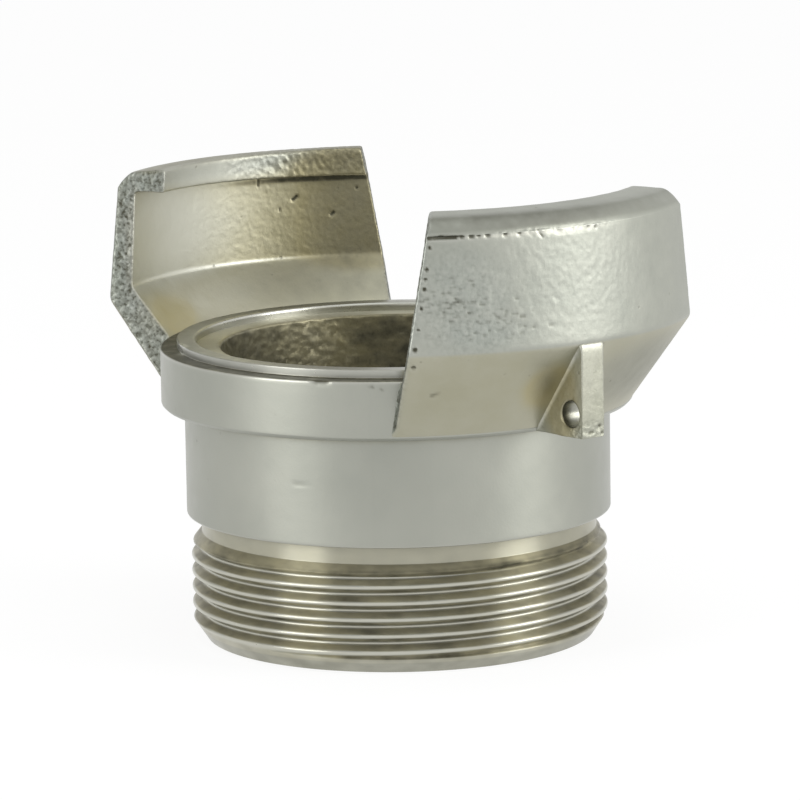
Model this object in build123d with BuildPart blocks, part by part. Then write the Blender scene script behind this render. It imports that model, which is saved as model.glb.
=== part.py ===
"""Half of a symmetrical quarter turn coupling with a male pipe thread, in mm.

One cast and machined piece. The bore runs along +Z. The threaded end stands on
Z = 0 and the two claws rise at the other end, centred on +X and -X. The chain
lug sits under the claw on +X.
"""
from build123d import *
import math
import os

os.makedirs("parts", exist_ok=True)

# Lengths along the axis, from the threaded end upwards
THREAD_LENGTH = 13.5
RUN_OUT_LENGTH = 1.9
NECK_LENGTH = 2.6
COLLAR_LENGTH = 15.55
FLANGE_THICKNESS = 8.35
SEAT_RISE = 1.2

# Thread, then the walls, steps and widths across the axis
THREAD_RADIUS = 29.807
THREAD_DEPTH = 1.479
NECK_RELIEF = 0.06
PIPE_WALL = 3.268
COLLAR_STEP = 0.55
SEAT_STEP = 3.55
SEAT_WIDTH = 2.7
RIM_WIDTH = 2.4

# Thread form, with the height of its lowest crest above the rim on +X
THREAD_PITCH = 2.309
THREAD_FLANK_ANGLE = 27.5
CREST_FLAT = 0.385
CREST_HEIGHT = 1.10
CUT_MARGIN = 0.12

# Claws: rises above the face, then spread, wall and widths across the axis
KINK_RISE = 5.0
WALL_HEIGHT = 16.0
CROWN_HEIGHT = 2.6
POCKET_RISE = 6.9
LIP_THICKNESS = 3.8
CLAW_SPREAD = 9.2
WALL_DRAFT = 0.7
CROWN_WIDTH = 2.1
CROWN_BULGE = 0.3
CLAW_WALL = 3.4
LIP_REACH = 4.25
FOOT_MARGIN = 0.15
CONE_LIFT = 0.65

# Flanks of a claw: half angle at its foot, lean towards its middle, lip ramp
FLANK_HALF_ANGLE = 39.7
FLANK_LEAN = 9.6
RAMP_ANGLE = 1.5

# Chain lug, its hole and how deep its root sits in the claw
LUG_WIDTH = 4.0
LUG_HOLE_RADIUS = 1.8
LUG_HOLE_INSET = 2.5
LUG_HOLE_RISE = 3.25
LUG_ROOT = 1.2

# Small edges
THREAD_CHAMFER = 2.0
THREAD_LEAD_IN = 3.0
BORE_CHAMFER = 0.4
COLLAR_CHAMFER = 0.3
FACE_CHAMFER = 0.35
FLANGE_CHAMFER = 0.5
LUG_ROUND = 0.5
FLANK_ROUND = 0.5

# Heights that follow
RUN_OUT_TOP = THREAD_LENGTH + RUN_OUT_LENGTH
COLLAR_BOTTOM = RUN_OUT_TOP + NECK_LENGTH
FLANGE_BOTTOM = COLLAR_BOTTOM + COLLAR_LENGTH
FACE_HEIGHT = FLANGE_BOTTOM + FLANGE_THICKNESS
SEAT_TOP = FACE_HEIGHT + SEAT_RISE
CONE_START = FLANGE_BOTTOM + CONE_LIFT
CLAW_KINK = FACE_HEIGHT + KINK_RISE
CLAW_WALL_TOP = CLAW_KINK + WALL_HEIGHT
CLAW_TOP = CLAW_WALL_TOP + CROWN_HEIGHT
POCKET_FLOOR = FACE_HEIGHT + POCKET_RISE
LIP_UNDERSIDE = CLAW_TOP - LIP_THICKNESS
ABOVE = CLAW_TOP + LIP_THICKNESS

# Radii and slopes that follow
ROOT_RADIUS = THREAD_RADIUS - THREAD_DEPTH
NECK_RADIUS = ROOT_RADIUS - NECK_RELIEF
BORE_RADIUS = NECK_RADIUS - PIPE_WALL
COLLAR_RADIUS = THREAD_RADIUS + COLLAR_STEP
SEAT_INNER_RADIUS = BORE_RADIUS + SEAT_STEP
SEAT_OUTER_RADIUS = SEAT_INNER_RADIUS + SEAT_WIDTH
FLANGE_RADIUS = SEAT_OUTER_RADIUS + RIM_WIDTH
KINK_RADIUS = FLANGE_RADIUS + CLAW_SPREAD
WALL_TOP_RADIUS = KINK_RADIUS - WALL_DRAFT
CROWN_RADIUS = WALL_TOP_RADIUS - CROWN_WIDTH
POCKET_RADIUS = KINK_RADIUS - CLAW_WALL
LIP_RADIUS = POCKET_RADIUS - LIP_REACH
POCKET_FOOT_RADIUS = FLANGE_RADIUS + FOOT_MARGIN
CONE_SLOPE = (KINK_RADIUS - FLANGE_RADIUS) / (CLAW_KINK - CONE_START)
CUP_BOTTOM = CONE_START - CONE_LIFT / 2
HALF = math.radians(FLANK_HALF_ANGLE)
WEDGE_REACH = 2 * KINK_RADIUS
APEX_SHIFT = math.tan(math.radians(FLANK_LEAN)) / math.sin(HALF)

# Thread grooves: the cutter's size, and the middle of each up to the run-out
FLANK_TAN = math.tan(math.radians(THREAD_FLANK_ANGLE))
GROOVE_DEPTH = THREAD_DEPTH + CUT_MARGIN
GROOVE_MOUTH = THREAD_PITCH - CREST_FLAT + 2 * CUT_MARGIN * FLANK_TAN
GROOVE_COUNT = math.ceil((RUN_OUT_TOP - CREST_HEIGHT) / THREAD_PITCH - 0.5)
GROOVE_HEIGHTS = [CREST_HEIGHT + (turn + 0.5) * THREAD_PITCH for turn in range(GROOVE_COUNT)]

# Turned body: thread blank, neck, collar, flange and seat round one bore
BODY_PROFILE = [
    (BORE_RADIUS + BORE_CHAMFER, 0.0),
    (THREAD_RADIUS - THREAD_CHAMFER, 0.0),
    (THREAD_RADIUS, THREAD_LEAD_IN),
    (THREAD_RADIUS, THREAD_LENGTH),
    (NECK_RADIUS, RUN_OUT_TOP),
    (NECK_RADIUS, COLLAR_BOTTOM),
    (COLLAR_RADIUS - COLLAR_CHAMFER, COLLAR_BOTTOM),
    (COLLAR_RADIUS, COLLAR_BOTTOM + COLLAR_CHAMFER),
    (COLLAR_RADIUS, FLANGE_BOTTOM),
    (FLANGE_RADIUS - FLANGE_CHAMFER, FLANGE_BOTTOM),
    (FLANGE_RADIUS, FLANGE_BOTTOM + FLANGE_CHAMFER),
    (FLANGE_RADIUS, FACE_HEIGHT - FACE_CHAMFER),
    (FLANGE_RADIUS - FACE_CHAMFER, FACE_HEIGHT),
    (SEAT_OUTER_RADIUS, FACE_HEIGHT),
    (SEAT_OUTER_RADIUS, SEAT_TOP),
    (SEAT_INNER_RADIUS, SEAT_TOP),
    (SEAT_INNER_RADIUS, FACE_HEIGHT),
    (BORE_RADIUS + BORE_CHAMFER, FACE_HEIGHT),
    (BORE_RADIUS, FACE_HEIGHT - BORE_CHAMFER),
    (BORE_RADIUS, BORE_CHAMFER),
]
with BuildPart() as turned_body:
    with BuildSketch(Plane.XZ):
        with BuildLine():
            Polyline(BODY_PROFILE, close=True)
        make_face()
    revolve(axis=Axis.Z)
    # the thread's turns, as rings with its true section on +X but without its lead
    with BuildSketch(Plane.XZ):
        with Locations(*[(THREAD_RADIUS + CUT_MARGIN, height) for height in GROOVE_HEIGHTS]):
            Trapezoid(
                GROOVE_MOUTH,
                GROOVE_DEPTH,
                90 - THREAD_FLANK_ANGLE,
                rotation=90,
                align=(Align.CENTER, Align.MIN),
            )
    revolve(axis=Axis.Z, mode=Mode.SUBTRACT)

# One claw, first as a full turned cup
WALL_TOP_POINT = (WALL_TOP_RADIUS, CLAW_WALL_TOP)
CROWN_POINT = (CROWN_RADIUS, CLAW_TOP)
CROWN_MIDDLE = (
    (WALL_TOP_RADIUS + CROWN_RADIUS + CROWN_BULGE) / 2,
    (CLAW_WALL_TOP + CLAW_TOP + CROWN_BULGE) / 2,
)
CUP_FOOT = (KINK_RADIUS - CONE_SLOPE * (CLAW_KINK - CUP_BOTTOM), CUP_BOTTOM)
POCKET_PROFILE = [
    (0.0, FACE_HEIGHT),
    (POCKET_FOOT_RADIUS, FACE_HEIGHT),
    (POCKET_RADIUS, POCKET_FLOOR),
    (POCKET_RADIUS, ABOVE),
    (0.0, ABOVE),
]
with BuildPart() as pocket_core:
    with BuildSketch(Plane.XZ):
        with BuildLine():
            Polyline(POCKET_PROFILE, close=True)
        make_face()
    revolve(axis=Axis.Z)
    # the lip's underside climbs gently from one flank to the other
    ramp = Plane(origin=(0, 0, LIP_UNDERSIDE)).rotated((RAMP_ANGLE, 0, 0))
    split(bisect_by=ramp, keep=Keep.BOTTOM)

with BuildPart() as wedge:
    with BuildSketch(Plane.XY.offset(FLANGE_BOTTOM)):
        with BuildLine():
            Polyline(
                (0, 0),
                (WEDGE_REACH * math.cos(HALF), -WEDGE_REACH * math.sin(HALF)),
                (WEDGE_REACH * math.cos(HALF), WEDGE_REACH * math.sin(HALF)),
                close=True,
            )
        make_face()
    extrude(amount=ABOVE - FLANGE_BOTTOM, dir=(APEX_SHIFT, 0, 1))

with BuildPart() as claw:
    with BuildSketch(Plane.XZ):
        with BuildLine():
            Polyline(
                CROWN_POINT,
                (0, CLAW_TOP),
                (0, CUP_BOTTOM),
                CUP_FOOT,
                (KINK_RADIUS, CLAW_KINK),
                WALL_TOP_POINT,
            )
            ThreePointArc(WALL_TOP_POINT, CROWN_MIDDLE, CROWN_POINT)
        make_face()
    revolve(axis=Axis.Z)
    add(pocket_core.part, mode=Mode.SUBTRACT)
    with Locations((0, 0, POCKET_FLOOR)):
        Cylinder(
            LIP_RADIUS,
            ABOVE - POCKET_FLOOR,
            align=(Align.CENTER, Align.CENTER, Align.MIN),
            mode=Mode.SUBTRACT,
        )
    add(wedge.part, mode=Mode.INTERSECT)
    Cylinder(
        SEAT_INNER_RADIUS,
        FACE_HEIGHT,
        align=(Align.CENTER, Align.CENTER, Align.MIN),
        mode=Mode.SUBTRACT,
    )
    # the flanks' edges along the outer wall and over the crown
    outer_edges = claw.edges().filter_by(
        lambda edge: edge.bounding_box().min.Z > FACE_HEIGHT
        and abs(edge.center().Y) > LIP_RADIUS / 2
        and math.hypot(edge.center().X, edge.center().Y) > POCKET_RADIUS + CLAW_WALL / 3
    )
    fillet(outer_edges, FLANK_ROUND)

# Chain lug: a radial plate under the claw, flush with its widest line
with BuildPart() as lug:
    with BuildSketch(Plane.XZ.offset(-LUG_WIDTH / 2)):
        with BuildLine():
            Polyline(
                (FLANGE_RADIUS - LUG_ROOT, FLANGE_BOTTOM),
                (KINK_RADIUS, FLANGE_BOTTOM),
                (KINK_RADIUS, CLAW_KINK),
                (KINK_RADIUS - LUG_ROOT, CLAW_KINK),
                (FLANGE_RADIUS - LUG_ROOT, CONE_START),
                close=True,
            )
        make_face()
    extrude(amount=LUG_WIDTH)
    fillet(lug.edges().filter_by(Axis.Z).group_by(Axis.X)[-1], LUG_ROUND)

with BuildPart() as coupling_body:
    add(turned_body.part)
    add(claw.part)
    add(claw.part.rotate(Axis.Z, 180))
    add(lug.part)
    with Locations((KINK_RADIUS - LUG_HOLE_INSET, 0, FLANGE_BOTTOM + LUG_HOLE_RISE)):
        Cylinder(
            LUG_HOLE_RADIUS,
            2 * LUG_WIDTH,
            rotation=(90, 0, 0),
            mode=Mode.SUBTRACT,
        )

coupling_body.part.label = "coupling_body"
export_step(coupling_body.part, "parts/coupling_body.step")
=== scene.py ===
"""Half of a quarter turn coupling with a male pipe thread, in cast and turned steel.

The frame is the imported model's: the bore runs along +Z, the threaded end stands on
Z = 0 and the two claws are centred on +X and -X. Shapes are worked out in
millimetres and written to the meshes in metres.
"""

import logging
import math
from dataclasses import dataclass, field
from enum import StrEnum
from typing import Any

import bpy
import numpy as np
from mathutils import Matrix, Vector


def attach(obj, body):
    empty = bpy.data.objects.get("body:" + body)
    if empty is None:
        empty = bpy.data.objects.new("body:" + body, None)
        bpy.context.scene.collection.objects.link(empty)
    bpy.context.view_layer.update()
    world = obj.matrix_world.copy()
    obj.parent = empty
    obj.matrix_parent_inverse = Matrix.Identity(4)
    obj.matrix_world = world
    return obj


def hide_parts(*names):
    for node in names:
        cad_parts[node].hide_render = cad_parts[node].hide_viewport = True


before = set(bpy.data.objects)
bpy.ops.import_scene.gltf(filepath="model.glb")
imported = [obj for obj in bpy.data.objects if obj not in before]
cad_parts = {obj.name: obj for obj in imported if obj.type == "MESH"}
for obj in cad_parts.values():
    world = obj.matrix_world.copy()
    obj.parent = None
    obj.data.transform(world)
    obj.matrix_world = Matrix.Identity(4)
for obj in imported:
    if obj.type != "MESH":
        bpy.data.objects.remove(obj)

Array = np.ndarray
Colour = tuple[float, float, float]
MM = 0.001  # a millimetre in metres
WELD_STEP = 1e-4  # points in one cell of this width are joined
WELD_OFFSET = 3.1e-5  # keeps round sizes off the borders of the cells
RUB_LEAN = 0.030  # how far a point on a sharp edge stands out from its neighbours
MIX_BY_AXIS = np.array([0x9E3779B97F4A7C15, 0xC2B2AE3D27D4EB4F, 0x165667B19E3779F9], np.uint64)
MIX_AGAIN = np.uint64(0xBF58476D1CE4E5B9)
MIX_SHIFTS = (29, 32, 31)
KEPT_BITS = 24
SEED_STRIDE, SALT_STRIDE = 7919, 104729
NOISE_GAIN = 1.6  # brings gradient noise to about -1 to 1
PIT_SIZES = (0.45, 1.0)  # smallest and largest pit of a field, as shares of its width
PIT_TURNS = (-0.4, 0.9)  # how far its pits are drawn out round the axis, in degrees
NODE = "coupling_body"
BODY = "root"
log = logging.getLogger("coupling")


class Trait(StrEnum):
    """Values carried by a mesh's points and read by its material."""

    FRESH = "fresh"
    # OLIVE is a warm tint: partly tarnish, partly painted warm bounce light in pockets, bores and
    # grooves.
    OLIVE = "olive"
    # HOLLOW darkens: partly dirt and scale in dents, partly painted shade in recesses, grooves,
    # corners and on tops.
    HOLLOW = "hollow"
    COARSE = "coarse"
    # PALE lightens: painted highlights, glints and reflections.
    PALE = "pale"


@dataclass(frozen=True)
class Tone:
    """What a region adds to each trait, as amounts from -1 to 1."""

    fresh: float = 0.0
    olive: float = 0.0
    hollow: float = 0.0
    coarse: float = 0.0
    pale: float = 0.0


def toned(*regions: tuple[Array, Tone]) -> dict[str, Array]:
    """Traits of a surface: the sum of each region's share times its tone."""
    return {
        trait: sum(share * getattr(tone, trait) for share, tone in regions) for trait in Trait
    }


# Numbers over whole arrays


def ramp(values: Array, start: float, width: float) -> Array:
    """Rise from 0 at start to 1 a width further, or fall if the width is below 0."""
    return np.clip((values - start) / width, 0, 1)


def bell(values: Array, middle: float, width: float) -> Array:
    """exp(-d^2), where d is the distance from the middle in widths."""
    return np.exp(-(((values - middle) / width) ** 2))


def arc(radius: float, across: Array) -> Array:
    """Drop of a circle below its top at a distance across: r - sqrt(r^2 - d^2)."""
    return radius - np.sqrt(np.clip(radius**2 - across**2, 0, None))


@dataclass(frozen=True)
class Grain:
    """Seeded noise in space, worked out for whole arrays of points.

    Attributes:
        seed: Number that picks one field of noise out of many.
    """

    seed: int

    def _numbers(self, cells: Array, salt: int) -> Array:
        """Turn lattice corners into numbers from 0 to 1 by mixing their bits.

        Args:
            cells: Whole-number corners, one row each.
            salt: Number that makes several fields from one seed.

        Returns:
            One number for each corner.
        """
        whole = cells.astype(np.int64).astype(np.uint64)
        mixed = np.bitwise_xor.reduce(whole * MIX_BY_AXIS, axis=-1)
        mixed ^= np.uint64((self.seed * SEED_STRIDE + salt * SALT_STRIDE) & 0xFFFFFFFF)
        for shift in MIX_SHIFTS:
            mixed ^= mixed >> np.uint64(shift)
            mixed *= MIX_AGAIN
        return (mixed >> np.uint64(64 - KEPT_BITS)).astype(float) / 2.0**KEPT_BITS

    def smooth(self, points: Array, size: float) -> Array:
        """Gradient noise: at each lattice corner a random slope times the offset
        from it, blended along each axis by 6t^5 - 15t^4 + 10t^3.

        Args:
            points: Points, one row each.
            size: Distance between two lattice corners.

        Returns:
            One number for each point, mostly between -1 and 1.
        """
        scaled = points / size
        base = np.floor(scaled)
        offset = scaled - base
        fade = offset**3 * (offset * (offset * 6 - 15) + 10)
        total = np.zeros(len(points))
        for corner in np.ndindex(2, 2, 2):
            step = np.array(corner)
            slopes = [self._numbers(base + step, salt) * 2 - 1 for salt in range(3)]
            value = (np.stack(slopes, axis=1) * (offset - step)).sum(axis=1)
            total += value * np.where(step, fade, 1 - fade).prod(axis=1)
        return total * NOISE_GAIN

    def layered(self, points: Array, size: float, layers: int) -> Array:
        """Layers of smooth noise, each half as large and half as strong.

        Args:
            points: Points, one row each.
            size: Lattice distance of the first layer.
            layers: How many layers are added up.

        Returns:
            One number for each point.
        """
        total = np.zeros(len(points))
        for layer in range(layers):
            finer = Grain(self.seed + 31 * layer)
            total += finer.smooth(points, size / 2**layer) / 2**layer
        return total

    def share(self, points: Array, size: float, layers: int, gain: float = 0.5) -> Array:
        """Layered noise as a share: 0.5 + gain times noise, held between 0 and 1."""
        return np.clip(0.5 + gain * self.layered(points, size, layers), 0, 1)


@dataclass(frozen=True)
class Mark:
    """A dent, pit or scratch at a named place on a surface round the axis.

    Attributes:
        radius: Distance of the mark from the bore's axis.
        angle: Where it starts round the axis, in degrees.
        height: Height at which it starts.
        width: Half of its width.
        depth: How deep its middle goes.
        turn: Degrees from its start to its end.
        climb: Rise from its start to its end.
    """

    radius: float
    angle: float
    height: float
    width: float
    depth: float
    turn: float = 0.0
    climb: float = 0.0

    def spot(self, share: float) -> Array:
        """The point at a share of the way from the mark's start to its end."""
        angle = math.radians(self.angle + self.turn * share)
        rise = self.height + self.climb * share
        return np.array([self.radius * math.cos(angle), self.radius * math.sin(angle), rise])

    def press(self, points: Array) -> Array:
        """Depth of the mark: depth times (1 - (d / width)^2)^2, where d is the
        distance from the straight line between its start and its end.

        Args:
            points: Points, one row each.

        Returns:
            Depth in millimetres for each point.
        """
        start, end = self.spot(0.0), self.spot(1.0)
        line = end - start
        along = np.clip((points - start) @ line / max(line @ line, 1e-9), 0, 1)
        apart = ((points - start - along[:, None] * line) ** 2).sum(axis=1)
        return self.depth * np.clip(1 - apart / self.width**2, 0, 1) ** 2


@dataclass(frozen=True)
class PitField:
    """A patch of casting pits scattered round one place.

    Attributes:
        radius: Distance of the patch from the bore's axis.
        angle: Middle of the patch round the axis, in degrees.
        height: Middle of the patch along the axis.
        spread: Half of its extent round the axis, in degrees.
        rise: Half of its extent along the axis.
        count: How many pits it has.
        width: Half of the widest pit's width.
        depth: Depth of the deepest pit.
        seed: Number that fixes where the pits lie.
    """

    radius: float
    angle: float
    height: float
    spread: float
    rise: float
    count: int
    width: float
    depth: float
    seed: int

    def marks(self) -> list[Mark]:
        """Scatter the pits with normal chances round the patch's middle.

        Returns:
            One mark for each pit.
        """
        draw = np.random.default_rng(self.seed)
        angles = self.angle + draw.normal(0, 0.5, self.count) * self.spread
        heights = self.height + draw.normal(0, 0.5, self.count) * self.rise
        sizes = draw.uniform(*PIT_SIZES, self.count)
        turns = draw.uniform(*PIT_TURNS, self.count)
        return [
            Mark(self.radius, a, h, self.width * s, self.depth * s, turn=t)
            for a, h, s, t in zip(angles, heights, sizes, turns)
        ]


@dataclass(frozen=True)
class Patch:
    """A region with a soft edge on a surface round the axis.

    Attributes:
        radius: Distance of its middle from the bore's axis.
        angle: Its middle round the axis, in degrees.
        height: Its middle along the axis.
        spread: Half of its extent round the axis, in degrees.
        rise: Half of its extent along the axis.
        reach: Half of its extent away from the axis.
    """

    radius: float
    angle: float
    height: float
    spread: float
    rise: float
    reach: float = 1.6

    def share(self, points: Array) -> Array:
        """How far points belong to the region: exp(-d^4), where d is the distance
        from its middle, measured in its half extents.

        Args:
            points: Points, one row each.

        Returns:
            A share from 0 to 1 for each point.
        """
        out = (np.hypot(points[:, 0], points[:, 1]) - self.radius) / self.reach
        turn = np.degrees(np.arctan2(points[:, 1], points[:, 0])) - self.angle
        turn = ((turn + 180) % 360 - 180) / self.spread
        lift = (points[:, 2] - self.height) / self.rise
        return np.exp(-((out**2 + turn**2 + lift**2) ** 2))


@dataclass(frozen=True)
class StainAndPaintedLight:
    """A tint on a region: real tarnish, painted shade, a painted highlight or a painted reflection.

    Attributes:
        patch: The region.
        olive: How far the steel turns olive there: tarnish in some regions, painted warm bounce
            light in others.
        dark: How far it darkens: tarnish in some regions, painted shade in others.
        pale: How far it lightens, as a painted highlight or reflection.
    """

    patch: Patch
    olive: float
    dark: float
    pale: float = 0.0

    def changes(self) -> dict[Trait, float]:
        """What it adds to each trait."""
        return {Trait.OLIVE: self.olive, Trait.HOLLOW: self.dark, Trait.PALE: self.pale}


@dataclass(frozen=True)
class Peel:
    """Skin that a rough stretch of mould left on a region.

    Attributes:
        patch: The region.
        size: Distance between two of its bumps.
        depth: How deep its hollows go.
        coarse: How far the blasted grain coarsens there.
    """

    patch: Patch
    size: float
    depth: float
    coarse: float = 0.0

    def changes(self) -> dict[Trait, float]:
        """What it adds to each trait."""
        return {Trait.COARSE: self.coarse}


@dataclass(frozen=True)
class WearAndPaintedLight:
    """All that casting, blasting and use left on a piece, and the light and shade painted on it.

    Attributes:
        marks: Single dents, nicks and beads.
        fields: Patches of pits.
        peels: Regions of rough skin.
        stains_and_painted_light: Tarnished regions, and regions with painted shade, highlights and
            reflections.
        seed: Number that fixes the rough skin.
        limit: The deepest that marks and pits may go together.
    """

    marks: tuple[Mark, ...] = ()
    fields: tuple[PitField, ...] = ()
    peels: tuple[Peel, ...] = ()
    stains_and_painted_light: tuple[StainAndPaintedLight, ...] = ()
    seed: int = 90
    limit: float = 0.35

    def dents(self, points: Array) -> Array:
        """Depth of the marks and pits, added up and limited.

        Args:
            points: Points, one row each.

        Returns:
            Depth in millimetres for each point; beads are below 0.
        """
        marks = [*self.marks, *(mark for patch in self.fields for mark in patch.marks())]
        total = sum((mark.press(points) for mark in marks), np.zeros(len(points)))
        return np.minimum(total, self.limit)

    def skin(self, points: Array) -> Array:
        """Depth of the rough skin: share times depth times layered noise.

        Args:
            points: Points, one row each.

        Returns:
            Depth in millimetres for each point.
        """
        total = np.zeros(len(points))
        for index, peel in enumerate(self.peels):
            noise = Grain(self.seed + index).share(points, peel.size, 2, 0.6)
            total += peel.depth * peel.patch.share(points) * noise
        return total

    def tint(self, points: Array, traits: dict[str, Array]) -> None:
        """Add the tints, with their painted shade and highlights, and the coarse grain to a
        surface's traits.

        Args:
            points: Points, one row each.
            traits: Values of each trait, which are changed in place.
        """
        for region in (*self.stains_and_painted_light, *self.peels):
            share = region.patch.share(points)
            for trait, amount in region.changes().items():
                traits[trait] = np.clip(traits[trait] + amount * share, 0, 1)


# Profiles and closed surfaces


@dataclass(frozen=True)
class Corner:
    """A corner of a profile, in the plane of radius and height.

    Attributes:
        radius: Distance from the bore's axis.
        height: Height above the threaded end.
        cut: Length taken off each side by the rounded corner.
        rows: Points on the straight run that follows the corner.
    """

    radius: float
    height: float
    cut: float = 0.0
    rows: int = 2

    @property
    def place(self) -> Array:
        """The corner as a pair of radius and height."""
        return np.array([self.radius, self.height])


def rounded_path(corners: list[Corner], closed: bool, bend_rows: int = 5) -> Array:
    """Follow straight runs between corners and a parabola round each one.

    Round a corner B the curve is (1-s)^2 P + 2s(1-s) B + s^2 Q, where P and Q lie
    on the two sides at the corner's cut from B.

    Args:
        corners: The corners in order.
        closed: Whether the last corner joins the first.
        bend_rows: Points on each rounded corner.

    Returns:
        Points of radius and height, one row each.
    """
    count = len(corners)
    runs = []
    for index, corner in enumerate(corners):
        ends = not closed and index in (0, count - 1)
        before = corners[index - 1].place
        after = corners[(index + 1) % count].place
        here = corner.place
        if ends or corner.cut <= 0:
            runs.append(here[None, :])
            leave = here
        else:
            arrive = here + (before - here) / np.linalg.norm(before - here) * corner.cut
            leave = here + (after - here) / np.linalg.norm(after - here) * corner.cut
            s = np.linspace(0, 1, bend_rows)[:, None]
            runs.append((1 - s) ** 2 * arrive + 2 * s * (1 - s) * here + s**2 * leave)
        if closed or index < count - 1:
            following = corners[(index + 1) % count]
            back = here - after
            length = np.linalg.norm(back)
            stop_cut = 0.0 if not closed and index + 1 == count - 1 else following.cut
            stop = after + back / length * stop_cut
            s = np.linspace(0, 1, corner.rows + 2)[1:-1, None]
            runs.append((1 - s) * leave + s * stop)
    return np.concatenate(runs)


def swept(radius: Array, angle: Array, height: Array) -> Array:
    """Points at radius, angle and height: x = r cos a, y = r sin a, z = h.

    Args:
        radius: Distances from the bore's axis.
        angle: Angles round it, in radians.
        height: Heights above the threaded end.

    Returns:
        Points with their three coordinates on the last axis.
    """
    radius, angle, height = np.broadcast_arrays(radius, angle, height)
    return np.stack([radius * np.cos(angle), radius * np.sin(angle), height], axis=-1)


@dataclass
class Shell:
    """A closed surface gathered from grids of points, in millimetres.

    Attributes:
        points: Points, one row each.
        quads: Faces, four point numbers each.
        traits: Values of each trait, one for each point.
    """

    points: Array = field(default_factory=lambda: np.zeros((0, 3)))
    quads: Array = field(default_factory=lambda: np.zeros((0, 4), int))
    traits: dict[str, Array] = field(default_factory=dict)

    def add_grid(
        self,
        grid: Array,
        traits: dict[str, Array | float],
        loop_rows: bool = False,
        loop_columns: bool = False,
        flip: bool = False,
    ) -> None:
        """Add a grid of points with a quad between each four neighbours.

        Args:
            grid: Points in rows and columns.
            traits: Value of each trait, for the grid or each of its points; a trait
                that isn't named is 0.
            loop_rows: Whether the last row joins the first.
            loop_columns: Whether the last column joins the first.
            flip: Whether the faces turn round.
        """
        rows, columns = grid.shape[:2]
        number = np.arange(rows * columns).reshape(rows, columns) + len(self.points)
        if loop_rows:
            number = np.concatenate([number, number[:1]])
        if loop_columns:
            number = np.concatenate([number, number[:, :1]], axis=1)
        quads = np.stack(
            [number[:-1, :-1], number[1:, :-1], number[1:, 1:], number[:-1, 1:]], axis=-1
        ).reshape(-1, 4)
        self.points = np.concatenate([self.points, grid.reshape(-1, 3)])
        self.quads = np.concatenate([self.quads, quads[:, ::-1] if flip else quads])
        for name, value in (dict.fromkeys(Trait, 0.0) | traits).items():
            values = np.broadcast_to(value, (rows, columns)).reshape(-1)
            self.traits[name] = np.concatenate([self.traits.get(name, np.zeros(0)), values])

    def weld(self) -> None:
        """Join points at one place and turn the faces outwards.

        The sum of a . (b x c) over the corners of all triangles is six times the
        volume, so a negative sum means that the faces point inwards.
        """
        keys = np.floor(self.points / WELD_STEP + WELD_OFFSET / WELD_STEP + 0.5)
        _, first, number = np.unique(
            keys.astype(np.int64), axis=0, return_index=True, return_inverse=True
        )
        self.points = self.points[first]
        self.quads = number.reshape(-1)[self.quads]
        for name, value in self.traits.items():
            self.traits[name] = value[first]
        a, b, c, d = (self.points[self.quads[:, k]] for k in range(4))
        volume = (a * np.cross(b, c)).sum() + (a * np.cross(c, d)).sum()
        if volume < 0:
            self.quads = self.quads[:, ::-1]

    def _gather(self, targets: Array, values: Array) -> Array:
        """Add up rows of values at the point numbers in targets."""
        size = len(self.points)
        return np.stack(
            [np.bincount(targets, values[:, axis], size) for axis in range(values.shape[1])],
            axis=1,
        )

    def normals(self) -> Array:
        """Unit normals: the cross products of the faces' diagonals, added up.

        Returns:
            One row of three for each point.
        """
        a, b, c, d = (self.points[self.quads[:, k]] for k in range(4))
        face = np.cross(c - a, d - b)
        total = sum(self._gather(self.quads[:, k], face) for k in range(4))
        return total / np.maximum(np.linalg.norm(total, axis=1, keepdims=True), 1e-12)

    def around(self, values: Array) -> Array:
        """Mean of each point's neighbours along the grid's lines.

        Args:
            values: One row for each point.

        Returns:
            One row for each point.
        """
        total = np.zeros_like(values, dtype=float)
        count = np.zeros((len(self.points), 1))
        ones = np.ones((len(self.quads), 1))
        for k in range(4):
            here, there = self.quads[:, k], self.quads[:, (k + 1) % 4]
            total += self._gather(here, values[there]) + self._gather(there, values[here])
            count += self._gather(here, ones) + self._gather(there, ones)
        return total / np.maximum(count, 1)

    def spread(self, values: Array, rounds: int) -> Array:
        """Give each point the mean of its neighbours' numbers, in this many rounds."""
        for _ in range(rounds):
            values = self.around(values[:, None])[:, 0]
        return values

    def soften(self, rounds: int, share: Array | float) -> None:
        """Round the edges: each round moves a point a share of the way to the
        mean of its neighbours, which hardly moves a smooth surface.

        Args:
            rounds: How often this is done.
            share: Share of the way, for the shell or each of its points.
        """
        weight = np.broadcast_to(share, (len(self.points),))[:, None]
        for _ in range(rounds):
            self.points = self.points + weight * (self.around(self.points) - self.points)

    def sink(self, depth: Array) -> None:
        """Move each point inwards along its normal by its depth."""
        self.points = self.points - self.normals() * depth[:, None]

    def hollows(self) -> Array:
        """How far each point lies below its neighbours, along its normal.

        Returns:
            One number for each point: above 0 in hollows and below 0 on edges.
        """
        lean = ((self.around(self.points) - self.points) * self.normals()).sum(axis=1)
        return (lean + self.spread(lean, 1)) / 2

    def add(self, trait: Trait, change: Array, most: float = 1.0) -> None:
        """Add to a trait and hold it between 0 and the most that it may be."""
        self.traits[trait] = np.clip(self.traits[trait] + change, 0, most)

    def rub_edges_and_shade_hollows(self, bright: float, dirt_and_shade: float) -> None:
        """Brighten edges, as handling wears them, and darken hollows, partly with dirt and partly
        with painted shade.

        Args:
            bright: How fresh the sharpest edges become.
            dirt_and_shade: How dark the sharpest hollows become.
        """
        lean = self.hollows()
        worn = bright * ramp(lean, 0.0, -RUB_LEAN)
        self.add(Trait.FRESH, worn)
        self.add(Trait.HOLLOW, dirt_and_shade * ramp(lean, 0.0, RUB_LEAN) - self.traits[Trait.HOLLOW] * worn)

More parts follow.
